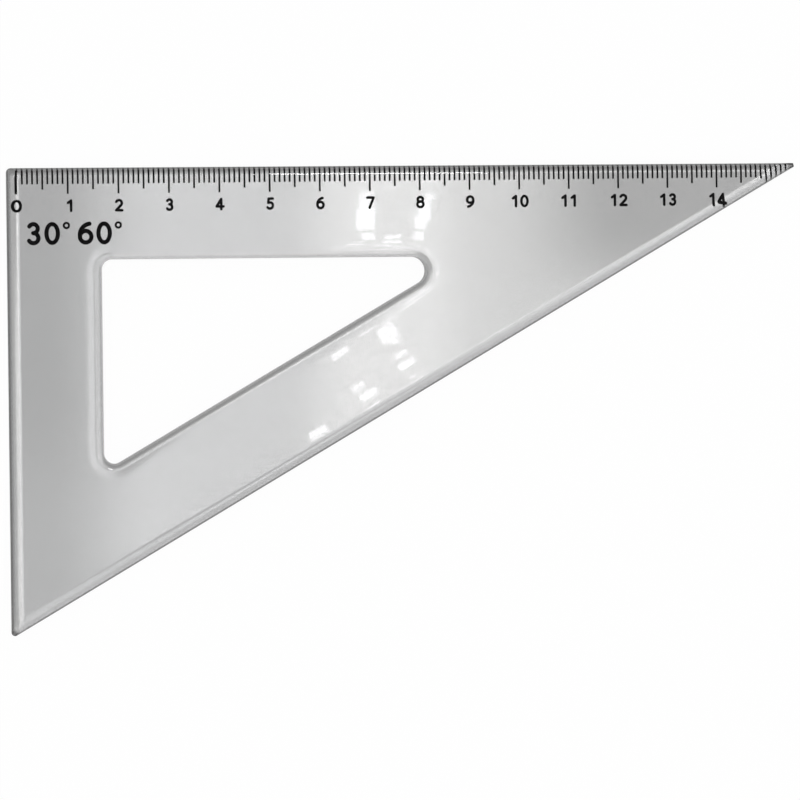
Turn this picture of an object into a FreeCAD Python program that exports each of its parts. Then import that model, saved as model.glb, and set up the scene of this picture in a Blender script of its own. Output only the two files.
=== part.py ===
import FreeCAD, Part
import math
import os

import Sketcher

# A 30/60 degree set square: one flat transparent plate, right-angled at its upper left corner,
# with a triangular window, rolled upper rims, and a black centimetre scale let into its underside.
# Millimetres.  +X runs along the long leg to the acute tip, +Y points at the scale edge and +Z up.
# The origin is the middle of the plate's footprint, on the underside.

SIZES = {
    # the triangle, measured between its sharp (unrounded) corners
    "long_leg": 159.2,
    "acute_angle": 30.0,
    "thickness": 2.2,
    # radii of the outline, seen from above
    "right_corner_radius": 0.9,
    "acute_tip_radius": 0.35,
    "lower_tip_radius": 0.7,
    # bars left around the window
    "short_bar_width": 18.6,
    "scale_bar_width": 18.0,
    "slanted_bar_width": 18.8,
    "window_corner_radius": 2.05,
    "window_tip_radius": 2.75,
    # upper rims: how far in from the wall each one starts to roll down, and the wall left below
    "outer_rim_width": 2.4,
    "scale_rim_width": 1.7,
    "window_rim_width": 1.45,
    "rim_land": 0.35,
    "scale_land": 0.6,
    "window_land": 0.8,
    # the print: foil pressed flush into the underside
    "ink_depth": 0.03,
    "print_margin": 0.06,
    "print_tilt": 0.16,
    "zero_offset": 2.05,
    "scale_end_gap": 3.15,
    "line_width": 0.36,
    "millimetre_line_length": 3.2,
    "half_line_length": 4.25,
    "centimetre_line_length": 5.12,
    # numerals: overall height and width of a digit, pen width, and their row below the scale edge
    "digit_height": 2.5,
    "digit_width": 1.74,
    "digit_pen": 0.52,
    "digit_gap": 0.12,
    "digit_drop": 6.2,
    "numeral_shift": 0.08,
    "lone_one_shift": 0.38,
    # the plain mark of the two angles below the first numerals
    "mark_height": 4.5,
    "mark_width": 3.1,
    "mark_pen": 0.85,
    "mark_gap": 0.55,
    "mark_word_gap": 1.5,
    "mark_drop": 10.6,
    "mark_start": 1.6,
}

PITCH = 1.0
LINES_PER_HALF = 5
LINES_PER_CENTIMETRE = 10
CUTTER_REACH = 1.0

# places of the outline in the origin's frame, written as expressions of the sheet
LEFT = (
    "(-(Sizes.long_leg - Sizes.acute_tip_radius * (1 / tan(Sizes.acute_angle / 2) - 1)) / 2)"
)
TOP = (
    "((Sizes.long_leg * tan(Sizes.acute_angle)"
    " - Sizes.lower_tip_radius * (1 / tan((90 - Sizes.acute_angle) / 2) - 1)) / 2)"
)

doc = FreeCAD.newDocument("set_square")
sheet = doc.addObject("Spreadsheet::Sheet", "Sizes")
for row, (alias, size) in enumerate(SIZES.items(), start=1):
    sheet.set(f"A{row}", alias)
    sheet.set(f"B{row}", str(size))
    sheet.setAlias(f"B{row}", alias)
doc.recompute()


def value(expression):
    """The present number of an expression of the sheet."""
    return float(sheet.evalExpression(expression))


def new_body(name):
    body = doc.addObject("PartDesign::Body", name)
    body.AllowCompound = True
    return body


def new_sketch(body, name, plane):
    """A sketch on one of the body's own origin planes."""
    sketch = body.newObject("Sketcher::SketchObject", name)
    support = [item for item in body.Origin.OriginFeatures if item.Role == plane]
    sketch.AttachmentSupport = (support[0], "")
    sketch.MapMode = "FlatFace"
    return sketch


def constrain(sketch, relations, dimensions):
    """Constrain a sketch in one step, and tie each dimension to an expression of the sheet.

    A relation holds a constraint's own terms.  A dimension holds a name and an expression first.
    """
    constraints = [Sketcher.Constraint(*terms) for terms in relations]
    for name, expression, *terms in dimensions:
        constraints.append(Sketcher.Constraint(*terms, value(expression)))
    sketch.addConstraint(constraints)
    for index, (name, expression, *terms) in enumerate(dimensions, start=len(relations)):
        sketch.renameConstraint(index, name)
        sketch.setExpression(f"Constraints.{name}", expression)


def draw_rounded_triangle(sketch, corner, slant, radii):
    """Right triangle with rounded corners.

    corner is the sharp right angle, slant a point on the line of the slanted side, and radii
    those of the right corner, the acute tip and the lower tip: all expressions of the sheet.
    """
    corner_x, corner_y = corner
    slant_x, slant_y = slant
    right_r, tip_r, lower_r = radii
    slope = "tan(Sizes.acute_angle)"
    tip_x = f"{slant_x} + ({corner_y} - {slant_y}) / {slope}"
    lower_y = f"{slant_y} + ({corner_x} - {slant_x}) * {slope}"
    centres = [
        (f"{corner_x} + {right_r}", f"{corner_y} - {right_r}"),
        (f"{tip_x} - {tip_r} / tan(Sizes.acute_angle / 2)", f"{corner_y} - {tip_r}"),
        (f"{corner_x} + {lower_r}", f"{lower_y} + {lower_r} / tan((90 - Sizes.acute_angle) / 2)"),
    ]
    angle = math.radians(value("Sizes.acute_angle"))
    turns = [
        (math.pi / 2, math.pi),
        (angle - math.pi / 2, math.pi / 2),
        (math.pi, angle + 3 * math.pi / 2),
    ]
    middles = [FreeCAD.Vector(value(x), value(y), 0) for x, y in centres]
    arcs = []
    for middle, radius, turn in zip(middles, radii, turns):
        circle = Part.Circle(middle, FreeCAD.Vector(0, 0, 1), value(radius))
        arcs.append(Part.ArcOfCircle(circle, *turn))
    right, tip, lower = arcs
    top = Part.LineSegment(right.StartPoint, tip.EndPoint)
    slanted = Part.LineSegment(lower.EndPoint, tip.StartPoint)
    left = Part.LineSegment(lower.StartPoint, right.EndPoint)
    right, tip, lower, top, slanted, left = sketch.addGeometry(
        [right, tip, lower, top, slanted, left], False
    )
    joints = [
        (top, 1, right, 1),
        (top, 2, tip, 2),
        (slanted, 2, tip, 1),
        (slanted, 1, lower, 2),
        (left, 1, lower, 1),
        (left, 2, right, 2),
    ]
    dimensions = []
    for name, arc, centre, radius in zip(("right", "tip", "lower"), (right, tip, lower), centres, radii):
        dimensions.append((f"{name}_x", centre[0], "DistanceX", -1, 1, arc, 3))
        dimensions.append((f"{name}_y", centre[1], "DistanceY", -1, 1, arc, 3))
        dimensions.append((f"{name}_radius", radius, "Radius", arc))
    constrain(sketch, [("Tangent", *joint) for joint in joints], dimensions)


def draw_rim_cutter(sketch, wall, inward, width, land):
    """Section of what is cut from an upper rim: everything outside an arc.

    The arc leaves the top face level, width in from the wall, and meets the wall at the land.
    wall, width and land are expressions; inward is 1 or -1 along the sketch's own x.
    """
    sign, opposite = ("+", "-") if inward > 0 else ("-", "+")
    crown_x = f"{wall} {sign} {width}"
    outer_x = f"{wall} {opposite} {CUTTER_REACH}"
    outer_y = f"Sizes.thickness + {CUTTER_REACH}"
    wide = value(width)
    high = value("Sizes.thickness")
    drop = high - value(land)
    radius = (wide**2 + drop**2) / (2 * drop)
    centre = FreeCAD.Vector(value(crown_x), high - radius, 0)
    foot = FreeCAD.Vector(value(wall), value(land), 0)
    foot_turn = math.atan2(foot.y - centre.y, foot.x - centre.x)
    circle = Part.Circle(centre, FreeCAD.Vector(0, 0, 1), radius)
    turn = (math.pi / 2, foot_turn) if inward > 0 else (foot_turn, math.pi / 2)
    crown_end, foot_end = (1, 2) if inward > 0 else (2, 1)
    corners = [
        foot,
        FreeCAD.Vector(value(outer_x), foot.y, 0),
        FreeCAD.Vector(value(outer_x), value(outer_y), 0),
        FreeCAD.Vector(centre.x, value(outer_y), 0),
        FreeCAD.Vector(centre.x, high, 0),
    ]
    sides = [Part.LineSegment(start, end) for start, end in zip(corners, corners[1:])]
    arc, floor, outer, roof, inner = sketch.addGeometry([Part.ArcOfCircle(circle, *turn)] + sides, False)
    relations = [
        ("Coincident", arc, foot_end, floor, 1),
        ("Coincident", floor, 2, outer, 1),
        ("Coincident", outer, 2, roof, 1),
        ("Coincident", roof, 2, inner, 1),
        ("Coincident", inner, 2, arc, crown_end),
        ("Horizontal", floor),
        ("Vertical", outer),
        ("Horizontal", roof),
        ("Vertical", inner),
        ("Vertical", arc, 3, arc, crown_end),
    ]
    dimensions = [
        ("wall", wall, "DistanceX", -1, 1, floor, 1),
        ("land", land, "DistanceY", -1, 1, floor, 1),
        ("crown_x", crown_x, "DistanceX", -1, 1, inner, 2),
        ("crown_y", "Sizes.thickness", "DistanceY", -1, 1, inner, 2),
        ("outer_x", outer_x, "DistanceX", -1, 1, outer, 2),
        ("outer_y", outer_y, "DistanceY", -1, 1, outer, 2),
    ]
    constrain(sketch, relations, dimensions)


def cut_straight_rim(body, sketch):
    """Cut a rim profile along the whole of a straight side."""
    name = sketch.Name.replace("_section", "_cut")
    cut = body.newObject("PartDesign::Pocket", name)
    cut.Profile = sketch
    cut.Type = "ThroughAll"
    cut.SideType = "Symmetric"
    return cut


def make_plate_body():
    """The moulded plate, before the print is let in."""
    body = new_body("plate_moulding")
    tip = (f"({LEFT} + Sizes.long_leg)", TOP)

    outline = new_sketch(body, "plate_outline", "XY_Plane")
    draw_rounded_triangle(
        outline,
        (LEFT, TOP),
        tip,
        ("Sizes.right_corner_radius", "Sizes.acute_tip_radius", "Sizes.lower_tip_radius"),
    )
    slab = body.newObject("PartDesign::Pad", "plate_slab")
    slab.Profile = outline
    slab.setExpression("Length", "Sizes.thickness")
    doc.recompute()
    volumes = [slab.Shape.Volume]

    window_corner = (f"({LEFT} + Sizes.short_bar_width)", f"({TOP} - Sizes.scale_bar_width)")
    window_slant = (
        f"({tip[0]} - Sizes.slanted_bar_width * sin(Sizes.acute_angle))",
        f"({tip[1]} + Sizes.slanted_bar_width * cos(Sizes.acute_angle))",
    )
    window_radii = (
        "Sizes.window_corner_radius",
        "Sizes.window_tip_radius",
        "Sizes.window_corner_radius",
    )
    window_outline = new_sketch(body, "window_outline", "XY_Plane")
    draw_rounded_triangle(window_outline, window_corner, window_slant, window_radii)
    window = body.newObject("PartDesign::Pocket", "window_cut")
    window.Profile = window_outline
    window.Type = "ThroughAll"
    window.SideType = "Symmetric"
    doc.recompute()
    volumes.append(window.Shape.Volume)

    scale_section = new_sketch(body, "scale_rim_section", "YZ_Plane")
    draw_rim_cutter(scale_section, TOP, -1, "Sizes.scale_rim_width", "Sizes.scale_land")
    short_section = new_sketch(body, "short_rim_section", "XZ_Plane")
    draw_rim_cutter(short_section, LEFT, 1, "Sizes.outer_rim_width", "Sizes.rim_land")
    slanted_section = new_sketch(body, "slanted_rim_section", "XZ_Plane")
    turn = FreeCAD.Rotation(FreeCAD.Vector(0, 1, 0), 90 + value("Sizes.acute_angle"))
    start = FreeCAD.Vector(value(tip[0]), 0, -value(tip[1]))
    slanted_section.AttachmentOffset = FreeCAD.Placement(start, turn)
    slanted_section.setExpression("AttachmentOffset.Base.x", tip[0])
    slanted_section.setExpression("AttachmentOffset.Base.z", f"-{tip[1]}")
    slanted_section.setExpression(
        "AttachmentOffset.Rotation.Angle", "(90 + Sizes.acute_angle) * 1 deg"
    )
    draw_rim_cutter(slanted_section, "0", 1, "Sizes.outer_rim_width", "Sizes.rim_land")
    for section in (scale_section, short_section, slanted_section):
        cut = cut_straight_rim(body, section)
        doc.recompute()
        volumes.append(cut.Shape.Volume)

    path = new_sketch(body, "window_path", "XY_Plane")
    draw_rounded_triangle(path, window_corner, window_slant, window_radii)
    window_section = new_sketch(body, "window_rim_section", "XZ_Plane")
    path_start = f"({window_corner[1]} - Sizes.window_corner_radius)"
    window_section.AttachmentOffset = FreeCAD.Placement(
        FreeCAD.Vector(0, 0, -value(path_start)), FreeCAD.Rotation()
    )
    window_section.setExpression("AttachmentOffset.Base.z", f"-{path_start}")
    draw_rim_cutter(
        window_section, window_corner[0], -1, "Sizes.window_rim_width", "Sizes.window_land"
    )
    doc.recompute()
    window_rim = body.newObject("PartDesign::SubtractivePipe", "window_rim_cut")
    window_rim.Profile = window_section
    window_rim.Spine = (path, [])
    doc.recompute()
    volumes.append(window_rim.Shape.Volume)
    for before, after in zip(volumes, volumes[1:]):
        assert after < before, "a cut of the plate removed nothing"
    return body


def place_in_print_frame(item):
    """Put an item drawn from the zero of the scale edge where the print lies on the plate."""
    item.setExpression("Placement.Base.x", f"{LEFT} + Sizes.zero_offset")
    item.setExpression("Placement.Base.y", TOP)
    item.setExpression("Placement.Rotation.Angle", "Sizes.print_tilt * 1 deg")


def make_print_area():
    """The part of the underside that the foil may cover, a small margin inside the outline."""
    body = new_body("print_area")
    inset = "Sizes.print_margin"
    outline = new_sketch(body, "print_area_outline", "XY_Plane")
    draw_rounded_triangle(
        outline,
        (f"({LEFT} + {inset})", f"({TOP} - {inset})"),
        (
            f"({LEFT} + Sizes.long_leg - {inset} * sin(Sizes.acute_angle))",
            f"({TOP} + {inset} * cos(Sizes.acute_angle))",
        ),
        ("Sizes.right_corner_radius", "Sizes.acute_tip_radius", "Sizes.lower_tip_radius"),
    )
    pad = body.newObject("PartDesign::Pad", "print_area_pad")
    pad.Profile = outline
    pad.setExpression("Length", "Sizes.thickness")
    return body


def make_scale_lines(node, length, marks, period, count, print_area):
    """One rank of scale lines, each its own solid, cut off where the print area ends.

    marks are the places of the first lines, in line pitches, repeated count times every period.
    """
    body = new_body(f"{node}_uncut")
    place_in_print_frame(body)
    sketch = new_sketch(body, f"{node}_outline", "XY_Plane")
    half = value("Sizes.line_width") / 2
    foot = -value(length)
    relations = []
    dimensions = []
    for mark in marks:
        middle = mark * PITCH
        corners = [
            FreeCAD.Vector(middle - half, CUTTER_REACH, 0),
            FreeCAD.Vector(middle - half, foot, 0),
            FreeCAD.Vector(middle + half, foot, 0),
            FreeCAD.Vector(middle + half, CUTTER_REACH, 0),
        ]
        outline = [
            Part.LineSegment(start, end) for start, end in zip(corners, corners[1:] + corners[:1])
        ]
        sides = sketch.addGeometry(outline, False)
        for side, after in zip(sides, sides[1:] + sides[:1]):
            relations.append(("Coincident", side, 2, after, 1))
        for side, way in zip(sides, ("Vertical", "Horizontal", "Vertical", "Horizontal")):
            relations.append((way, side))
        first, foot_side = sides[0], sides[1]
        place = f"{middle} - Sizes.line_width / 2"
        dimensions.append((f"place_{mark}", place, "DistanceX", -1, 1, first, 2))
        dimensions.append(
            (f"width_{mark}", "Sizes.line_width", "DistanceX", foot_side, 1, foot_side, 2)
        )
        dimensions.append((f"foot_{mark}", f"-{length}", "DistanceY", -1, 1, first, 2))
        dimensions.append((f"over_{mark}", f"{CUTTER_REACH}", "DistanceY", -1, 1, first, 1))
    constrain(sketch, relations, dimensions)
    pad = body.newObject("PartDesign::Pad", f"{node}_pad")
    pad.Profile = sketch
    pad.setExpression("Length", "Sizes.ink_depth")
    doc.recompute()
    row = body.newObject("PartDesign::LinearPattern", f"{node}_row")
    row.Originals = [pad]
    row.Direction = (body.Origin.OriginFeatures[0], [""])
    row.Occurrences = count
    row.Length = period * PITCH * (count - 1)
    body.Tip = row
    lines = doc.addObject("Part::Common", node)
    lines.Base = body
    lines.Tool = print_area
    return lines


# Digits are drawn with a round pen.  Points are shares of the pen's travel, which is the digit's
# width and height less one pen width; a pair of points is an arc through the first to the second.
DIGIT_STROKES = {
    0: [],
    1: [[(0.14, 0.78), (0.62, 1.0), (0.62, 0.0)]],
    2: [[(0.06, 0.84), ((0.71, 0.96), (0.82, 0.51)), (0.03, 0.0), (1.0, 0.0)]],
    3: [
        [(0.14, 0.89), ((0.82, 0.88), (0.47, 0.53))],
        [(0.47, 0.53), ((0.86, 0.13), (0.10, 0.12))],
    ],
    4: [[(1.06, 0.27), (-0.06, 0.27), (0.7, 1.0)], [(0.7, 1.0), (0.7, 0.0)]],
    5: [[(0.90, 1.0), (0.22, 1.0), (0.19, 0.58), ((0.91, 0.25), (0.04, 0.13))]],
    6: [[(0.0, 0.33), ((0.22, 0.79), (0.84, 1.0))]],
    7: [[(0.0, 1.0), (1.0, 1.0), (0.36, 0.0)]],
    8: [],
    9: [[(1.0, 0.67), ((0.78, 0.21), (0.16, 0.0))]],
}

# closed ovals of the digits: middle, then half width and half height, in the same shares
DIGIT_OVALS = {
    0: [((0.5, 0.5), (0.5, 0.5))],
    6: [((0.5, 0.31), (0.5, 0.31))],
    8: [((0.5, 0.77), (0.42, 0.23)), ((0.5, 0.28), (0.5, 0.28))],
    9: [((0.5, 0.69), (0.5, 0.31))],
}


def straight_pen_face(start, end, pen):
    """The mark of a round pen drawn straight from start to end."""
    along = (end - start).normalize()
    side = FreeCAD.Vector(-along.y, along.x, 0) * (pen / 2)
    tip = along * (pen / 2)
    edges = [
        Part.makeLine(start + side, end + side),
        Part.Arc(end + side, end + tip, end - side).toShape(),
        Part.makeLine(end - side, start - side),
        Part.Arc(start - side, start - tip, start + side).toShape(),
    ]
    return Part.Face(Part.Wire(edges))


def bent_pen_face(stroke, place, pen):
    """The mark of a round pen drawn along lines and arcs."""
    edges = []
    here = place(stroke[0])
    for step in stroke[1:]:
        if isinstance(step[0], tuple):
            middle, end = (place(point) for point in step)
            edges.append(Part.Arc(here, middle, end).toShape())
        else:
            end = place(step)
            edges.append(Part.makeLine(here, end))
        here = end
    return Part.Face(Part.Wire(edges).makeOffset2D(pen / 2, openResult=False))


def ellipse_face(middle, half_width, half_height):
    across = middle + FreeCAD.Vector(half_width, 0, 0)
    along = middle + FreeCAD.Vector(0, half_height, 0)
    if half_width > half_height:
        across, along = along, across
    return Part.Face(Part.Wire(Part.Ellipse(along, across, middle).toShape()))


def oval_pen_face(middle, half_width, half_height, pen):
    """The mark of a round pen drawn once around an oval."""
    outer = ellipse_face(middle, half_width + pen / 2, half_height + pen / 2)
    inner = ellipse_face(middle, half_width - pen / 2, half_height - pen / 2)
    return outer.cut(inner)


def digit_solid(digit, corner, width, height, pen, depth):
    """One digit as a flat solid; corner is the lower left of the whole digit."""
    travel_x = width - pen
    travel_y = height - pen

    def place(point):
        x = corner.x + pen / 2 + point[0] * travel_x
        y = corner.y + pen / 2 + point[1] * travel_y
        return FreeCAD.Vector(x, y, 0)

    faces = []
    for stroke in DIGIT_STROKES[digit]:
        if len(stroke) == 2 and not isinstance(stroke[1][0], tuple):
            faces.append(straight_pen_face(place(stroke[0]), place(stroke[1]), pen))
        else:
            faces.append(bent_pen_face(stroke, place, pen))
    for middle, half in DIGIT_OVALS.get(digit, []):
        faces.append(oval_pen_face(place(middle), half[0] * travel_x, half[1] * travel_y, pen))
    solids = [face.extrude(FreeCAD.Vector(0, 0, depth)) for face in faces]
    whole = solids[0].fuse(solids[1:]) if len(solids) > 1 else solids[0]
    return whole.removeSplitter().Solids[0]


def make_numeral(number):
    """A numeral of the scale: its digits side by side, centred just right of its line."""
    width = value("Sizes.digit_width")
    height = value("Sizes.digit_height")
    pen = value("Sizes.digit_pen")
    gap = value("Sizes.digit_gap")
    depth = value("Sizes.ink_depth")
    digits = [int(character) for character in str(number)]
    whole_width = len(digits) * width + (len(digits) - 1) * gap
    middle = number * LINES_PER_CENTIMETRE * PITCH + value("Sizes.numeral_shift")
    left = middle - whole_width / 2
    if digits == [1]:
        left += value("Sizes.lone_one_shift")
    bottom = -value("Sizes.digit_drop") - height
    solids = []
    for place, digit in enumerate(digits):
        corner = FreeCAD.Vector(left + place * (width + gap), bottom, 0)
        solids.append(digit_solid(digit, corner, width, height, pen, depth))
    numeral = doc.addObject("Part::Feature", f"numeral_{number}")
    numeral.Shape = Part.makeCompound(solids)
    place_in_print_frame(numeral)
    return numeral


def make_angle_mark():
    """The two acute angles in plain bold digits, each with its degree ring."""
    width = value("Sizes.mark_width")
    height = value("Sizes.mark_height")
    pen = value("Sizes.mark_pen")
    gap = value("Sizes.mark_gap")
    depth = value("Sizes.ink_depth")
    bottom = -value("Sizes.mark_drop") - height
    left = value("Sizes.mark_start")
    angle = value("Sizes.acute_angle")
    ring_pen = pen / 2
    ring_half = ring_pen * 1.2
    solids = []
    for shown in (round(angle), round(90 - angle)):
        for character in str(shown):
            corner = FreeCAD.Vector(left, bottom, 0)
            solids.append(digit_solid(int(character), corner, width, height, pen, depth))
            left += width + gap
        ring_middle = FreeCAD.Vector(
            left + ring_half + ring_pen / 2, bottom + height - ring_half - ring_pen / 2, 0
        )
        ring = oval_pen_face(ring_middle, ring_half, ring_half, ring_pen)
        solids.append(ring.extrude(FreeCAD.Vector(0, 0, depth)).Solids[0])
        left += 2 * ring_half + ring_pen + value("Sizes.mark_word_gap")
    mark = doc.addObject("Part::Feature", "angle_mark")
    mark.Shape = Part.makeCompound(solids)
    place_in_print_frame(mark)
    return mark


def make_print():
    """Every printed piece, each in a node of its own."""
    print_area = make_print_area()
    half_marks = range(1, LINES_PER_HALF)
    scale_length = value("Sizes.long_leg - Sizes.zero_offset - Sizes.scale_end_gap")
    half_length = LINES_PER_HALF * PITCH
    centimetre = LINES_PER_CENTIMETRE * PITCH
    lines = [
        make_scale_lines(
            "millimetre_lines",
            "Sizes.millimetre_line_length",
            half_marks,
            LINES_PER_HALF,
            int(scale_length // half_length) + 1,
            print_area,
        ),
        make_scale_lines(
            "half_centimetre_lines",
            "Sizes.half_line_length",
            [LINES_PER_HALF],
            LINES_PER_CENTIMETRE,
            int((scale_length - half_length) // centimetre) + 1,
            print_area,
        ),
        make_scale_lines(
            "centimetre_lines",
            "Sizes.centimetre_line_length",
            [0],
            LINES_PER_CENTIMETRE,
            int(scale_length // centimetre) + 1,
            print_area,
        ),
    ]
    widest_half = value("Sizes.digit_width + Sizes.digit_gap / 2 + Sizes.numeral_shift")
    slanted_side = value(
        "Sizes.long_leg - Sizes.zero_offset"
        " - (Sizes.digit_drop + Sizes.digit_height) / tan(Sizes.acute_angle)"
    )
    last_numeral = int((slanted_side - widest_half) // centimetre)
    numerals = [make_numeral(number) for number in range(last_numeral + 1)]
    return lines + numerals + [make_angle_mark()]


def make_plate(moulding, printed):
    """The finished plate: the moulding with a recess for every printed piece."""
    foil = doc.addObject("Part::Compound", "foil")
    foil.Links = printed
    plate = doc.addObject("Part::Cut", "plate")
    plate.Base = moulding
    plate.Tool = foil
    return plate


def check(items):
    """Stop unless every object computed and every sub-part is a sound shape."""
    for item in doc.Objects:
        failed = {"Invalid", "Error"} & set(item.State)
        assert not failed, f"{item.Name} is {item.State}"
    for item in items:
        assert not item.Shape.isNull(), f"{item.Name} is empty"
        assert item.Shape.isValid(), f"{item.Name} is not valid"
        assert item.Shape.Solids, f"{item.Name} has no solid"


moulding = make_plate_body()
printed = make_print()
plate = make_plate(moulding, printed)
doc.recompute()
nodes = [plate] + printed
for node in nodes:
    node.Label = node.Name
check(nodes)
os.makedirs("parts", exist_ok=True)
for node in nodes:
    node.Shape.exportStep(f"parts/{node.Label}.step")
    print(node.Label, len(node.Shape.Solids), "solids", round(node.Shape.Volume, 4), "mm3")
box = plate.Shape.optimalBoundingBox(False)
print("plate box from", box.getPoint(4), "to", box.getPoint(2))
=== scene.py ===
import math

import bmesh
import bpy
from mathutils import Euler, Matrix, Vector


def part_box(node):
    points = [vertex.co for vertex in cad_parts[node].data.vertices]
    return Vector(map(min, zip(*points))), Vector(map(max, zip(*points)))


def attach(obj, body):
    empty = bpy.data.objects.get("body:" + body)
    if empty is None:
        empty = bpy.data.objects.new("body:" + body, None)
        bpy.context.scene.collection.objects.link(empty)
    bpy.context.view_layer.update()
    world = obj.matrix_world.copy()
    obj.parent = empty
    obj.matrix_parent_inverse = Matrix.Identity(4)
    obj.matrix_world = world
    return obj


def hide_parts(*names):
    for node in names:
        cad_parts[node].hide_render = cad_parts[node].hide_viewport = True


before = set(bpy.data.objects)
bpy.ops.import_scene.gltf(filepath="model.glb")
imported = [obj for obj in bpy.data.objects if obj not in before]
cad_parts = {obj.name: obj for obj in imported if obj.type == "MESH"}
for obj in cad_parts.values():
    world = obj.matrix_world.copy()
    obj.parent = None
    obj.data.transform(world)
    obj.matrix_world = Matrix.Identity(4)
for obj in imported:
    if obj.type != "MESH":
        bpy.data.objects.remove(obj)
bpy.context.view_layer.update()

# Blank of the plate. One injection moulding of clear polystyrene, a flat triangle with rounded corners
# and a rolled upper rim along each side. It starts as a plain slab, whose sides, corners and rims are
# planed off facet by facet. The field lies a hair lower than the bead that later runs round the window.
plate_low, plate_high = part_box("plate")
print_proud = 0.00001
bead_height = 0.00004
underside = plate_low.z + print_proud
crest = plate_high.z
field = crest - bead_height
long_leg = 0.1592
acute_angle = math.radians(30)
lower_angle = math.radians(60)
right_angle = math.radians(90)
right_corner_radius = 0.0009
acute_tip_radius = 0.00035
lower_tip_radius = 0.00071
outer_rim = (0.0024, 0.00035)
scale_rim = (0.0017, 0.0006)
soft_corner_radius = 0.003
soft_tip_radius = 0.0022
facet_turn = math.radians(4)
corner_facet_turn = math.radians(11)
level = 1e-7

right_corner = Vector((plate_low.x, plate_high.y, 0))
acute_tip = right_corner + Vector((long_leg, 0, 0))
lower_tip = right_corner - Vector((0, long_leg * math.tan(acute_angle), 0))
facing_left = Vector((-1, 0, 0))
facing_scale = Vector((0, 1, 0))
facing_slant = Vector((math.sin(acute_angle), -math.cos(acute_angle), 0))
up = Vector((0, 0, 1))


def deselect_all():
    for thing in bpy.context.selected_objects:
        thing.select_set(False)


def plane_off(point, facing):
    bpy.ops.mesh.select_all(action="SELECT")
    bpy.ops.mesh.bisect(plane_co=point, plane_no=facing, use_fill=True, clear_outer=True, threshold=level)


def corner_centre(corner, angle, radius, first_facing, last_facing):
    """Middle of a round that fits into a corner of the outline."""
    inward = -(first_facing + last_facing).normalized()
    return corner + inward * radius / math.sin(angle / 2)


def round_corner(corner, angle, radius, first_facing, last_facing):
    """Rounds an upright corner with chords whose ends lie on the arc."""
    centre = corner_centre(corner, angle, radius, first_facing, last_facing)
    whole_turn = first_facing.angle(last_facing)
    facets = math.ceil(whole_turn / facet_turn)
    reach = radius * math.cos(whole_turn / facets / 2)
    for facet in range(facets):
        facing = first_facing.slerp(last_facing, (facet + 0.5) / facets)
        plane_off(centre + facing * reach, facing)


def rim_round(top, width, land):
    """Radius and turn of an arc that leaves the top level and meets the wall at its land."""
    drop = top - land
    radius = (width**2 + drop**2) / (2 * drop)
    return radius, math.asin(min(1, width / radius))


def roll_rim(wall_at, facing, rim):
    """Rolls an upper rim over; wall_at gives a point of its wall for each lean of a facet."""
    width, land = rim
    radius, turn = rim_round(field, width, land)
    facets = math.ceil(turn / facet_turn)
    reach = radius * math.cos(turn / facets / 2)
    for facet in range(facets):
        lean = turn * (facet + 0.5) / facets
        away = up * math.cos(lean) + facing * math.sin(lean)
        centre = wall_at(lean / turn) - facing * width + up * (field - radius)
        plane_off(centre + away * reach, away)


def roll_corner(corner, angle, radius, soft_radius, first, last):
    """Blends two rims round a corner, softly at the top and down to the outline's own radius."""
    first_facing, first_rim = first
    last_facing, last_rim = last
    steps = math.ceil(first_facing.angle(last_facing) / corner_facet_turn)
    for step in range(1, steps):
        share = step / steps
        facing = first_facing.slerp(last_facing, share)
        rim = [near * (1 - share) + far * share for near, far in zip(first_rim, last_rim)]

        def wall_at(lean_share):
            upright = math.sin(lean_share * right_angle)
            bend = soft_radius + (radius - soft_radius) * upright
            return corner_centre(corner, angle, bend, first_facing, last_facing) + facing * bend

        roll_rim(wall_at, facing, rim)


deselect_all()
blank_middle = (acute_tip + lower_tip) / 2 + up * (underside + field) / 2
bpy.ops.mesh.primitive_cube_add(size=1, location=blank_middle)
plate = bpy.context.object
plate.name = "clear_plate"
plate.scale = (long_leg, long_leg * math.tan(acute_angle), field - underside)
bpy.ops.object.transform_apply(location=True, rotation=False, scale=True)
bpy.ops.object.mode_set(mode="EDIT")
plane_off(acute_tip, facing_slant)
round_corner(right_corner, right_angle, right_corner_radius, facing_left, facing_scale)
round_corner(acute_tip, acute_angle, acute_tip_radius, facing_scale, facing_slant)
round_corner(lower_tip, lower_angle, lower_tip_radius, facing_slant, facing_left)
roll_rim(lambda lean_share: right_corner, facing_left, outer_rim)
roll_rim(lambda lean_share: acute_tip, facing_slant, outer_rim)
roll_rim(lambda lean_share: acute_tip, facing_scale, scale_rim)
left_side = (facing_left, outer_rim)
scale_side = (facing_scale, scale_rim)
slanted_side = (facing_slant, outer_rim)
roll_corner(right_corner, right_angle, right_corner_radius, soft_corner_radius, left_side, scale_side)
roll_corner(acute_tip, acute_angle, acute_tip_radius, soft_tip_radius, scale_side, slanted_side)
roll_corner(lower_tip, lower_angle, lower_tip_radius, soft_corner_radius, slanted_side, left_side)
bpy.ops.object.mode_set(mode="OBJECT")

# Window. The opening between the bars has a smaller rolled rim with a flat bead behind it, which runs
# round its three corners in one sweep, as the mould's cutter did: the rim's section is drawn beside
# one bar, drawn along each bar in turn and spun at each corner.
short_bar_width = 0.0186
scale_bar_width = 0.018
slanted_bar_width = 0.0188
window_corner_radius = 0.00205
window_tip_radius = 0.00275
window_rim_width = 0.00145
window_rim_land = 0.0008
bead_slope = math.radians(2.3)
bead_sweep_radius = 0.044
bead_facets = 7
spin_step = math.radians(5)
start_size = 0.001

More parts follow.
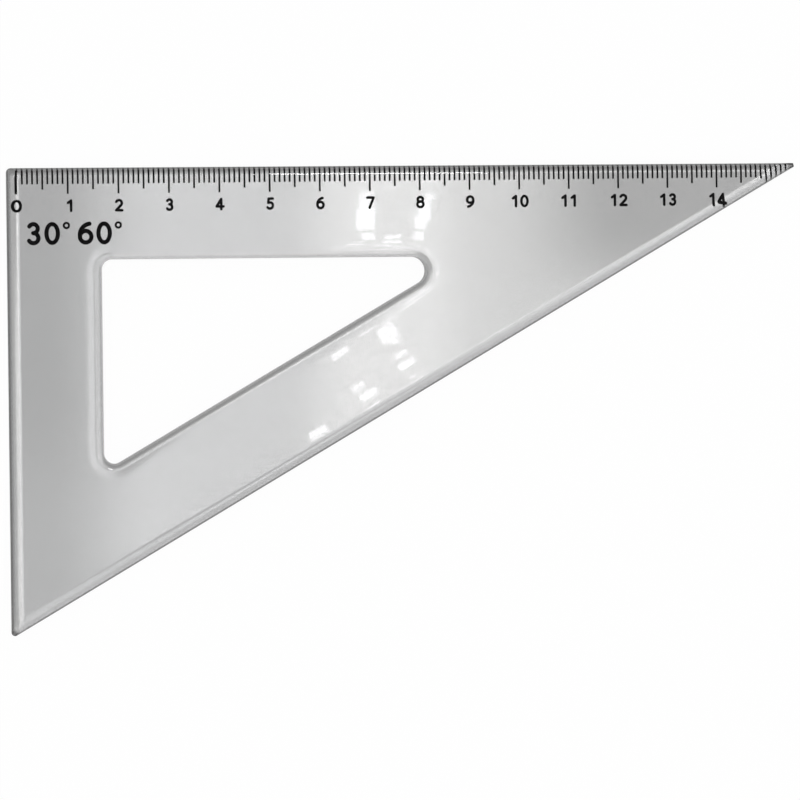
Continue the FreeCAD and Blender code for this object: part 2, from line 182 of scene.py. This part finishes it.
wall_left = right_corner.x + short_bar_width
wall_top = right_corner.y - scale_bar_width
slant_point = acute_tip - facing_slant * slanted_bar_width
window_right = slant_point.x + (wall_top - slant_point.y) / math.tan(acute_angle)
window_low = slant_point.y + (wall_left - slant_point.x) * math.tan(acute_angle)
window_corners = [
    (Vector((wall_left, wall_top, 0)), right_angle, window_corner_radius),
    (Vector((window_right, wall_top, 0)), acute_angle, window_tip_radius),
    (Vector((wall_left, window_low, 0)), lower_angle, window_corner_radius),
]
rim_radius, rim_turn = rim_round(crest, window_rim_width, window_rim_land)
bead_rise = bead_height - (rim_radius + bead_sweep_radius) * (1 - math.cos(bead_slope))
bead_ramp = bead_rise / math.sin(bead_slope)
up_the_bead = Vector((0, -math.cos(bead_slope), math.sin(bead_slope)))
off_the_bead = Vector((0, math.sin(bead_slope), math.cos(bead_slope)))

first_corner, first_angle, first_radius = window_corners[0]
section_x = first_corner.x + first_radius / math.tan(first_angle / 2)
rim_centre = Vector((section_x, wall_top + window_rim_width, crest - rim_radius))
ramp_top = rim_centre + off_the_bead * rim_radius
ramp_foot = ramp_top - up_the_bead * bead_ramp
bead_edge = ramp_foot + off_the_bead * bead_sweep_radius - up * bead_sweep_radius
bead_edge.z = field

deselect_all()
bpy.ops.mesh.primitive_plane_add(size=start_size, location=bead_edge)
window = bpy.context.object
bpy.ops.object.transform_apply(location=True, rotation=False, scale=False)
bpy.ops.object.mode_set(mode="EDIT")
bpy.ops.mesh.merge(type="CENTER")
sweep_centre = bead_edge + up * bead_sweep_radius
bpy.ops.mesh.spin(steps=bead_facets, angle=bead_slope, center=sweep_centre, axis=(1, 0, 0))
bpy.ops.mesh.extrude_region_move(TRANSFORM_OT_translate={"value": up_the_bead * bead_ramp})
roll_turn = bead_slope + rim_turn
roll_facets = math.ceil(roll_turn / facet_turn)
bpy.ops.mesh.spin(steps=roll_facets, angle=roll_turn, center=rim_centre, axis=(-1, 0, 0))
bpy.ops.mesh.extrude_region_move(TRANSFORM_OT_translate={"value": up * (underside - window_rim_land)})
bpy.ops.mesh.select_all(action="SELECT")
next_corners = window_corners[1:] + window_corners[:1]
legs = [(there[0] - here[0]).normalized() for here, there in zip(window_corners, next_corners)]
next_legs = legs[1:] + legs[:1]
for here, there, leg, next_leg in zip(window_corners, next_corners, legs, next_legs):
    corner, angle, radius = here
    next_corner, next_angle, next_radius = there
    rounded_off = radius / math.tan(angle / 2) + next_radius / math.tan(next_angle / 2)
    run = (next_corner - corner).length - rounded_off
    bpy.ops.mesh.extrude_region_move(TRANSFORM_OT_translate={"value": leg * run})
    centre = next_corner + (next_leg - leg).normalized() * next_radius / math.sin(next_angle / 2)
    turn = math.pi - next_angle
    bpy.ops.mesh.spin(steps=math.ceil(turn / spin_step), angle=turn, center=centre, axis=up)
bpy.ops.object.mode_set(mode="OBJECT")

# The opening is joined to the blank: the flat faces of the field and of the underside are taken off
# and laid again between the outer edge and the window, which closes the whole skin.
smooth_turn = math.radians(14)
deselect_all()
window.select_set(True)
plate.select_set(True)
bpy.context.view_layer.objects.active = plate
bpy.ops.object.join()
bpy.ops.object.mode_set(mode="EDIT")
bpy.ops.mesh.select_all(action="SELECT")
bpy.ops.mesh.remove_doubles(threshold=level)
for height in (field, underside):
    bpy.ops.mesh.select_mode(type="FACE")
    bpy.ops.mesh.select_all(action="DESELECT")
    skin = bmesh.from_edit_mesh(plate.data)
    for face in skin.faces:
        face.select_set(all(abs(corner.co.z - height) < level for corner in face.verts))
    bmesh.update_edit_mesh(plate.data)
    bpy.ops.mesh.delete(type="ONLY_FACE")
    bpy.ops.mesh.select_mode(type="EDGE")
    bpy.ops.mesh.select_all(action="DESELECT")
    skin = bmesh.from_edit_mesh(plate.data)
    for edge in skin.edges:
        at_height = all(abs(end.co.z - height) < level for end in edge.verts)
        edge.select_set(at_height and len(edge.link_faces) == 1)
    bmesh.update_edit_mesh(plate.data)
    bpy.ops.mesh.fill(use_beauty=True)
bpy.ops.mesh.select_all(action="SELECT")
bpy.ops.mesh.normals_make_consistent(inside=False)
bpy.ops.object.mode_set(mode="OBJECT")
bpy.ops.object.shade_smooth_by_angle(angle=smooth_turn)
bpy.ops.object.modifier_add(type="WEIGHTED_NORMAL")
plate.modifiers[-1].keep_sharp = True
bpy.ops.object.modifier_apply(modifier=plate.modifiers[-1].name)
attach(plate, "root")
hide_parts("plate")

# Its plastic is clear, with a smoky tint of its faces. Painted shade darkens that tint down the rims,
# along the scale edge, along the very edge and on the underside as seen through the plate. The faces
# carry the slow waves of the moulding, a dull film of fingers, hairline scratches and a few specks.
plastic_ior = 1.55
plastic_tone = (0.482, 0.482, 0.484, 1)
# Painted shade: the darker grey that the rims and the scale edge are given.
rim_shade_tone = (0.2, 0.2, 0.2, 1)
speck_tone = (0.2, 0.2, 0.2, 1)
# Painted shade: the near black given to the very edge.
edge_shade_tone = (0.03, 0.03, 0.03, 1)
plastic_roughness = 0.006
film_roughness = 0.014
film_pitch = 0.03
film_starts = 0.5
film_full = 0.72
scratch_roughness = 0.05
wave_pitch = 0.011
wave_height = 0.000006
scratch_width = 0.00009
scratch_length = 0.016
scratch_depth = 0.0000002
scratch_turns = (23, 68, 121, 164)
scratch_starts = 0.79
scratch_full = 0.86
speck_spacing = 0.0062
speck_radius = 0.00016
speck_softness = 1.6
speckless_below = 0.86
speck_above = 0.87
# Where the painted shade of the rims, of the scale edge and of the very edge starts and is full.
rim_shade_start = 0.00155
rim_shade_full = 0.0009
scale_shade = 0.58
scale_shade_start = 0.00165
scale_shade_full = 0.0013
edge_shade = 0.9
edge_shade_start = 0.00048
edge_shade_full = 0.00018
turned_down = -0.9
turned_out = -0.5


def new_material(name):
    material = bpy.data.materials.new(name)
    material.use_nodes = True
    nodes = material.node_tree.nodes
    return material, nodes, material.node_tree.links, nodes["Principled BSDF"]


def maths(nodes, links, operation, *values):
    node = nodes.new("ShaderNodeMath")
    node.operation = operation
    for socket, value in zip(node.inputs, values):
        if isinstance(value, (int, float)):
            socket.default_value = value
        else:
            links.new(value, socket)
    return node.outputs[0]


def fade(nodes, links, value, start, end, low=0.0, high=1.0):
    """A smooth change from low to high while a value goes from start to end."""
    node = nodes.new("ShaderNodeMapRange")
    node.interpolation_type = "SMOOTHSTEP"
    links.new(value, node.inputs["Value"])
    node.inputs["From Min"].default_value = min(start, end)
    node.inputs["From Max"].default_value = max(start, end)
    node.inputs["To Min"].default_value = low if start < end else high
    node.inputs["To Max"].default_value = high if start < end else low
    return node.outputs["Result"]


def blend_tones(nodes, links, share, first, second):
    """A mix of two tones, each a plain colour or another node's."""
    node = nodes.new("ShaderNodeMix")
    node.data_type = "RGBA"
    links.new(share, node.inputs[0])
    for socket, tone in zip(node.inputs[6:8], (first, second)):
        if isinstance(tone, tuple):
            socket.default_value = tone
        else:
            links.new(tone, socket)
    return node.outputs[2]


def noise(nodes, links, place, pitch, detail=2.0):
    node = nodes.new("ShaderNodeTexNoise")
    links.new(place, node.inputs["Vector"])
    node.inputs["Scale"].default_value = 1 / pitch
    node.inputs["Detail"].default_value = detail
    return node.outputs["Fac"]


clear_plastic, nodes, links, shader = new_material("clear_plastic")
shader.inputs["Transmission Weight"].default_value = 1
shader.inputs["IOR"].default_value = plastic_ior
surface = nodes.new("ShaderNodeTexCoord")
place = surface.outputs["Object"]
plate_spot = nodes.new("ShaderNodeSeparateXYZ")
links.new(place, plate_spot.inputs[0])
facing = nodes.new("ShaderNodeSeparateXYZ")
links.new(surface.outputs["Normal"], facing.inputs[0])

scratches = 0.0
for turn in scratch_turns:
    along = nodes.new("ShaderNodeMapping")
    along.vector_type = "TEXTURE"
    along.inputs["Rotation"].default_value = (0, 0, math.radians(turn))
    along.inputs["Scale"].default_value = (scratch_length, scratch_width, 1)
    links.new(place, along.inputs["Vector"])
    streaks = noise(nodes, links, along.outputs["Vector"], 1.0, detail=0.0)
    scratch = fade(nodes, links, streaks, scratch_starts, scratch_full)
    scratches = maths(nodes, links, "MAXIMUM", scratches, scratch)

cells = nodes.new("ShaderNodeTexVoronoi")
cells.inputs["Scale"].default_value = 1 / speck_spacing
links.new(place, cells.inputs["Vector"])
cell_draw = nodes.new("ShaderNodeSeparateColor")
links.new(cells.outputs["Color"], cell_draw.inputs[0])
has_speck = fade(nodes, links, cell_draw.outputs["Red"], speckless_below, speck_above)
speck_reach = speck_radius / speck_spacing * speck_softness
near_middle = fade(nodes, links, cells.outputs["Distance"], speck_reach, 0)
specks = maths(nodes, links, "MULTIPLY", has_speck, near_middle)

# Painted shade down the rims and by the scale edge, left off faces turned down as seen from below.
painted_rim_shade = fade(nodes, links, plate_spot.outputs["Z"], rim_shade_start, rim_shade_full)
from_left = maths(nodes, links, "SUBTRACT", plate_spot.outputs["X"], right_corner.x)
from_scale = maths(nodes, links, "SUBTRACT", right_corner.y, plate_spot.outputs["Y"])
painted_scale_shade = fade(nodes, links, from_scale, scale_shade_start, scale_shade_full, 0, scale_shade)
painted_rim_and_scale_shade = maths(nodes, links, "MAXIMUM", painted_rim_shade, painted_scale_shade)
not_under = fade(nodes, links, facing.outputs["Z"], turned_down, turned_out)
rim_shade_share = maths(nodes, links, "MULTIPLY", painted_rim_and_scale_shade, not_under)
smoke_and_painted_shade = blend_tones(nodes, links, rim_shade_share, plastic_tone, rim_shade_tone)

# Painted shade along the very edge, by the distance from the nearest side.
slantwise = nodes.new("ShaderNodeVectorMath")
slantwise.operation = "DOT_PRODUCT"
slantwise.inputs[1].default_value = facing_slant
links.new(place, slantwise.inputs[0])
from_slant = maths(nodes, links, "SUBTRACT", acute_tip.dot(facing_slant), slantwise.outputs["Value"])
from_legs = maths(nodes, links, "MINIMUM", from_left, from_scale)
from_edge = maths(nodes, links, "MINIMUM", from_legs, from_slant)
painted_edge_shade = fade(nodes, links, from_edge, edge_shade_start, edge_shade_full, 0, edge_shade)
edge_shade_share = maths(nodes, links, "MULTIPLY", painted_edge_shade, not_under)
smoke_and_painted_shade = blend_tones(nodes, links, edge_shade_share, smoke_and_painted_shade, edge_shade_tone)
links.new(blend_tones(nodes, links, specks, smoke_and_painted_shade, speck_tone), shader.inputs["Base Color"])

smears = noise(nodes, links, place, film_pitch, detail=4.0)
film = fade(nodes, links, smears, film_starts, film_full, plastic_roughness, film_roughness)
dull = maths(nodes, links, "MULTIPLY_ADD", scratches, scratch_roughness, film)
links.new(dull, shader.inputs["Roughness"])

waves = nodes.new("ShaderNodeBump")
waves.inputs["Distance"].default_value = wave_height
links.new(noise(nodes, links, place, wave_pitch, detail=1.0), waves.inputs["Height"])
scored = nodes.new("ShaderNodeBump")
scored.inputs["Distance"].default_value = scratch_depth
scored.invert = True
links.new(scratches, scored.inputs["Height"])
links.new(waves.outputs["Normal"], scored.inputs["Normal"])
links.new(scored.outputs["Normal"], shader.inputs["Normal"])
plate.data.materials.clear()
plate.data.materials.append(clear_plastic)

# Print. The scale, the numerals and the mark of the two angles are black foil, pressed hot into the
# underside and read through the plate. The foil is dead black, with a dry grain and a few pinholes.
foil_black = (0.002, 0.002, 0.002, 1)
foil_worn = (0.012, 0.012, 0.013, 1)
pinhole_tone = (0.12, 0.12, 0.12, 1)
foil_sheen = 0.1
foil_roughness = 0.45
worn_roughness = 0.7
foil_grain = 0.00035
worn_starts = 0.4
worn_full = 0.75
rough_starts = 0.3
rough_full = 0.7
pinhole_pitch = 0.00022
pinhole_starts = 0.7
pinhole_full = 0.8
grain_depth = 0.000003
black_foil, nodes, links, shader = new_material("black_foil")
shader.inputs["Specular IOR Level"].default_value = foil_sheen
surface = nodes.new("ShaderNodeTexCoord")
place = surface.outputs["Object"]
grain = noise(nodes, links, place, foil_grain, detail=3.0)
worn_share = fade(nodes, links, grain, worn_starts, worn_full)
worn = blend_tones(nodes, links, worn_share, foil_black, foil_worn)
dots = noise(nodes, links, place, pinhole_pitch, detail=1.0)
pinholes = fade(nodes, links, dots, pinhole_starts, pinhole_full)
links.new(blend_tones(nodes, links, pinholes, worn, pinhole_tone), shader.inputs["Base Color"])
rough = fade(nodes, links, grain, rough_starts, rough_full, foil_roughness, worn_roughness)
links.new(rough, shader.inputs["Roughness"])
pressed = nodes.new("ShaderNodeBump")
pressed.inputs["Distance"].default_value = grain_depth
links.new(grain, pressed.inputs["Height"])
links.new(pressed.outputs["Normal"], shader.inputs["Normal"])
for name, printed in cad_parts.items():
    if name != "plate":
        for slot in printed.material_slots:
            slot.material = black_foil

# Camera. It stands almost straight above the plate, a little to its left, and looks down on the whole.
camera_place = Vector((-0.255628, 0.0006, 1.389204))
camera_lens = 322.2
camera_sensor = 36
camera_reach = 20
camera_aim = Euler((math.radians(-0.046), math.radians(-10.37), math.radians(-0.715)), "ZYX")
camera_data = bpy.data.cameras.new("camera")
camera_data.lens = camera_lens
camera_data.sensor_width = camera_sensor
camera_data.clip_end = camera_reach
camera = bpy.data.objects.new("camera", camera_data)
bpy.context.scene.collection.objects.link(camera)
camera.location = camera_place
camera.rotation_euler = camera_aim.to_matrix().to_euler()
bpy.context.scene.camera = camera
bpy.context.scene.view_settings.view_transform = "Standard"

# Floor. A plain white table top, white as it is seen round the plate and through it. Under the clear
# plate it also has a gloss, in which the soft lamps overhead are mirrored. From below it is open.
floor_size = 6
floor_gap = 0.00005
white_seen = 0.95
white_through = 0.56
floor_gloss = (0.6, 0.6, 0.6, 1)
floor_paint = (0.9, 0.9, 0.9, 1)
gloss_roughness = 0.005
deselect_all()
bpy.ops.mesh.primitive_plane_add(size=floor_size, location=(0, 0, -floor_gap))
floor = bpy.context.object
floor.name = "floor"
table_top, nodes, links, shader = new_material("table_top")
nodes.remove(shader)
rays = nodes.new("ShaderNodeLightPath")
through = rays.outputs["Is Transmission Ray"]
white = nodes.new("ShaderNodeEmission")
paint = nodes.new("ShaderNodeBsdfDiffuse")
paint.inputs["Color"].default_value = floor_paint
gloss = nodes.new("ShaderNodeBsdfGlossy")
gloss.inputs["Roughness"].default_value = gloss_roughness
gloss.inputs["Color"].default_value = floor_gloss
seen = maths(nodes, links, "MAXIMUM", rays.outputs["Is Camera Ray"], rays.outputs["Is Glossy Ray"])
seen_share = maths(nodes, links, "MULTIPLY", seen, white_seen)
through_share = maths(nodes, links, "MULTIPLY", through, white_through)
ground = nodes.new("ShaderNodeMixShader")
links.new(maths(nodes, links, "MAXIMUM", seen_share, through_share), ground.inputs[0])
links.new(paint.outputs[0], ground.inputs[1])
links.new(white.outputs[0], ground.inputs[2])
mirror = nodes.new("ShaderNodeMixShader")
links.new(through, mirror.inputs[0])
links.new(gloss.outputs[0], mirror.inputs[2])
both = nodes.new("ShaderNodeAddShader")
links.new(ground.outputs[0], both.inputs[0])
links.new(mirror.outputs[0], both.inputs[1])
side = nodes.new("ShaderNodeNewGeometry")
clear = nodes.new("ShaderNodeBsdfTransparent")
open_below = nodes.new("ShaderNodeMixShader")
links.new(side.outputs["Backfacing"], open_below.inputs[0])
links.new(both.outputs[0], open_below.inputs[1])
links.new(clear.outputs[0], open_below.inputs[2])
links.new(open_below.outputs[0], nodes["Material Output"].inputs["Surface"])
floor.data.materials.append(table_top)

# Soft lamps. A sheet of lit cloth hangs over the table with soft-edged panels on it, and is seen only
# through the plate, in the gloss below it. Each panel lists, in metres across and then along, where its
# light starts, is full, is full to and ends, and how bright it is.
lamp_height = 1.0
cloth_size = 3.0
lit_panels = (
    ((-1.500, -1.400, 0.550, 1.000), (-0.320, -0.070, 1.400, 1.500), 1.30),
    ((-1.500, -1.400, 0.600, 0.900), (0.150, 0.350, 1.400, 1.500), 0.80),
    ((-0.400, -0.250, 0.010, 0.045), (-0.300, -0.080, 0.200, 0.400), 1.60),
    ((-0.070, -0.030, 0.050, 0.085), (0.120, 0.200, 0.450, 0.600), 0.80),
    ((-0.400, -0.300, 0.065, 0.130), (-0.300, -0.200, -0.045, 0.005), 0.50),
    ((0.060, 0.100, 0.208, 0.260), (-0.300, -0.040, 0.180, 0.700), 2.30),
    ((0.142, 0.172, 0.208, 0.260), (-0.200, -0.070, 0.180, 0.700), 0.42),
    ((0.140, 0.164, 0.188, 0.212), (-0.110, -0.070, 0.080, 0.200), 1.15),
    ((0.215, 0.255, 0.255, 0.500), (-0.110, -0.070, 0.015, 0.060), 2.75),
)
cool_light = (0.993, 0.997, 1.0, 1)
warm_light = (1.0, 0.998, 0.985, 1)
warm_starts = 0.13
warm_full = 0.17
deselect_all()
bpy.ops.mesh.primitive_plane_add(size=cloth_size, location=(0, 0, lamp_height))
cloth = bpy.context.object
cloth.name = "lit_cloth"
bpy.ops.object.transform_apply(location=True, rotation=False, scale=False)
lit_cloth, nodes, links, shader = new_material("lit_cloth")
nodes.remove(shader)
glow = nodes.new("ShaderNodeEmission")
surface = nodes.new("ShaderNodeTexCoord")
spots = nodes.new("ShaderNodeSeparateXYZ")
links.new(surface.outputs["Object"], spots.inputs[0])
brightness = 0.0
for across, along, strength in lit_panels:
    panel = strength
    for spot, (start, full, full_to, end) in zip(spots.outputs, (across, along)):
        panel = maths(nodes, links, "MULTIPLY", panel, fade(nodes, links, spot, start, full))
        panel = maths(nodes, links, "MULTIPLY", panel, fade(nodes, links, spot, end, full_to))
    brightness = maths(nodes, links, "ADD", brightness, panel)
links.new(brightness, glow.inputs["Strength"])
warmth = fade(nodes, links, spots.outputs["X"], warm_starts, warm_full)
links.new(blend_tones(nodes, links, warmth, cool_light, warm_light), glow.inputs["Color"])
links.new(glow.outputs[0], nodes["Material Output"].inputs["Surface"])
cloth.data.materials.append(lit_cloth)


def hide_but_through(lamp):
    lamp.visible_camera = False
    lamp.visible_diffuse = False
    lamp.visible_glossy = False
    lamp.visible_shadow = False


hide_but_through(cloth)

# Bare panes between the cloths, as of a tall window behind them. Each is given in millimetres by where
# its image lies on the plate: the middle, across and along, then its width, its depth and its turn.
pane_images = (
    (-7.8, 38.6, 2.80, 3.20, 0),
    (-8.0, 35.1, 3.76, 3.88, 0),
    (-7.5, 31.8, 2.72, 1.52, 0),
    (-9.1, 26.2, 3.30, 1.70, 0),
    (-10.3, 17.3, 3.60, 4.80, 0),
    (-8.2, 42.3, 2.80, 0.26, 0),
    (-3.0, 41.2, 2.70, 0.24, 0),
    (4.8, 42.3, 3.20, 0.26, 0),
    (5.2, 39.5, 2.00, 1.40, 0),
    (3.9, 36.8, 2.60, 4.00, 0),
    (3.0, 34.6, 2.40, 2.80, 0),
    (2.5, 31.7, 2.24, 1.84, 0),
    (-2.6, 31.7, 3.26, 0.80, 0),
    (-2.9, 25.3, 3.60, 8.50, 0),
    (-5.5, 17.3, 4.80, 1.50, 30),
    (-4.2, 15.0, 4.40, 0.34, 30),
    (-4.5, 14.2, 2.80, 0.28, 30),
    (-3.9, 12.7, 3.60, 2.80, 30),
    (-3.1, 12.1, 2.80, 2.80, 10),
    (-1.4, 8.7, 2.80, 1.20, 30),
    (-0.3, 6.9, 3.60, 1.40, 30),
    (0.7, 4.4, 1.20, 0.40, 35),
    (-13.5, 9.1, 4.00, 1.60, 38),
    (-14.1, 10.8, 2.40, 0.40, 35),
    (-10.0, 2.2, 3.00, 1.20, 35),
    (-7.9, 0.8, 4.00, 1.60, 28),
    (-7.3, -1.3, 3.60, 0.40, 30),
    (-7.1, -1.9, 3.20, 0.20, 30),
    (-18.1, -6.3, 4.00, 1.60, 30),
    (-17.5, -7.3, 4.80, 0.24, 30),
    (-17.9, -7.9, 4.00, 0.16, 30),
)
millimetre = 0.001
pane_strength = 8
pane_gap = 0.001


def mirrored(image):
    """Where something at the lamps' height has its image at this place on the plate."""
    spot = image + (image - camera_place.xy) * (lamp_height - pane_gap) / camera_place.z
    return spot.to_3d() + up * (lamp_height - pane_gap)


bare_pane, nodes, links, shader = new_material("bare_pane")
nodes.remove(shader)
daylight = nodes.new("ShaderNodeEmission")
daylight.inputs["Strength"].default_value = pane_strength
links.new(daylight.outputs[0], nodes["Material Output"].inputs["Surface"])
panes = bpy.data.objects.new("bare_panes", bpy.data.meshes.new("bare_panes"))
bpy.context.scene.collection.objects.link(panes)
glass = bmesh.new()
for middle_x, middle_y, width, depth, turn in pane_images:
    middle = Vector((middle_x, middle_y)) * millimetre
    across = Vector((math.cos(math.radians(turn)), math.sin(math.radians(turn)))) * width * millimetre / 2
    along = across.orthogonal().normalized() * depth * millimetre / 2
    sides = (-across - along, across - along, across + along, along - across)
    glass.faces.new([glass.verts.new(mirrored(middle + side)) for side in sides])
glass.to_mesh(panes.data)
glass.free()
panes.data.materials.append(bare_pane)
hide_but_through(panes)

# Strip light. A short bright tube beyond the scale edge, seen only as a fine line in the top skin of
# the plate, where the scale edge starts to roll over.
tube_middle = Vector((0.177, 0.235, lamp_height))
tube_length = 0.075
tube_depth = 0.12
tube_strength = 20
deselect_all()
bpy.ops.mesh.primitive_plane_add(size=1, location=tube_middle)
tube = bpy.context.object
tube.name = "strip_light"
tube.scale = (tube_length, tube_depth, 1)
bpy.ops.object.transform_apply(location=True, rotation=False, scale=True)
lit_tube, nodes, links, shader = new_material("lit_tube")
nodes.remove(shader)
tube_glow = nodes.new("ShaderNodeEmission")
tube_glow.inputs["Strength"].default_value = tube_strength
links.new(tube_glow.outputs[0], nodes["Material Output"].inputs["Surface"])
tube.data.materials.append(lit_tube)
tube.visible_camera = False
tube.visible_diffuse = False
tube.visible_transmission = False
tube.visible_shadow = False

# Room. An even soft light of plain strength on everything, and plain white behind. What the plate and
# the gloss mirror is darker, overhead most, but the far walls are bright as seen low through the plate.
overhead = 0.06
low_sky = 0.12
overhead_above = 0.9
low_sky_below = 0.3
far_walls = 1.6
far_walls_top = 0.5
far_walls_full = 0.36
studio = bpy.data.worlds.new("studio")
bpy.context.scene.world = studio
studio.use_nodes = True
nodes = studio.node_tree.nodes
links = studio.node_tree.links
walls = nodes["Background"]
walls.inputs["Color"].default_value = (1, 1, 1, 1)
rays = nodes.new("ShaderNodeLightPath")
surface = nodes.new("ShaderNodeTexCoord")
heading = nodes.new("ShaderNodeSeparateXYZ")
links.new(surface.outputs["Generated"], heading.inputs[0])
rise = heading.outputs["Z"]
mirrored_sky = fade(nodes, links, rise, overhead_above, low_sky_below, overhead, low_sky)
walls_beyond = fade(nodes, links, rise, far_walls_top, far_walls_full, 0, far_walls)
seen_through = maths(nodes, links, "MULTIPLY", walls_beyond, rays.outputs["Is Transmission Ray"])
mirrored_room = maths(nodes, links, "MAXIMUM", mirrored_sky, seen_through)
full = maths(nodes, links, "MAXIMUM", rays.outputs["Is Camera Ray"], rays.outputs["Is Diffuse Ray"])
links.new(maths(nodes, links, "MAXIMUM", mirrored_room, full), walls.inputs["Strength"])
